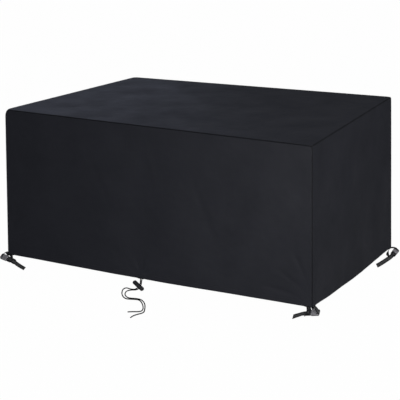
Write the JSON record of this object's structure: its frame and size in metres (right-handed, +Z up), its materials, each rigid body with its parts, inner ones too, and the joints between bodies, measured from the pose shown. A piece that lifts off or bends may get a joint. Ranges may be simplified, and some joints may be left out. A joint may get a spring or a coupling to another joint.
{
  "type": "patio furniture cover",
  "caption": "Fitted box-shaped outdoor furniture cover in dark coated cloth, with corner straps on side-release buckles and a drawstring hem.",
  "frame": {"origin": "middle of the underside of the top", "axes": "+X along the long side, to the right seen from the front; the front faces -Y; +Z up"},
  "size_m": [1.6348, 1.4018, 0.7896],
  "materials": {
    "cloth": "matte coated weave",
    "webbing": "woven, matte",
    "plastic": "fine moulded grain",
    "cord": "braided, matte"
  },
  "bodies": {
    "root": {"top_panel": "cloth", "front_panel": "cloth", "back_panel": "cloth", "left_panel": "cloth", "right_panel": "cloth", "corner_1_socket": "plastic", "corner_1_plug": "plastic", "corner_1_fixed_strap": "webbing", "corner_1_adjusting_strap": "webbing", "corner_2_socket": "plastic", "corner_2_plug": "plastic", "corner_2_fixed_strap": "webbing", "corner_2_adjusting_strap": "webbing", "corner_3_socket": "plastic", "corner_3_plug": "plastic", "corner_3_fixed_strap": "webbing", "corner_3_adjusting_strap": "webbing", "corner_4_socket": "plastic", "corner_4_plug": "plastic", "corner_4_fixed_strap": "webbing", "corner_4_adjusting_strap": "webbing", "cord_lock": "plastic", "drawstring_left": "cord", "drawstring_right": "cord"}
  },
  "joints": []
}
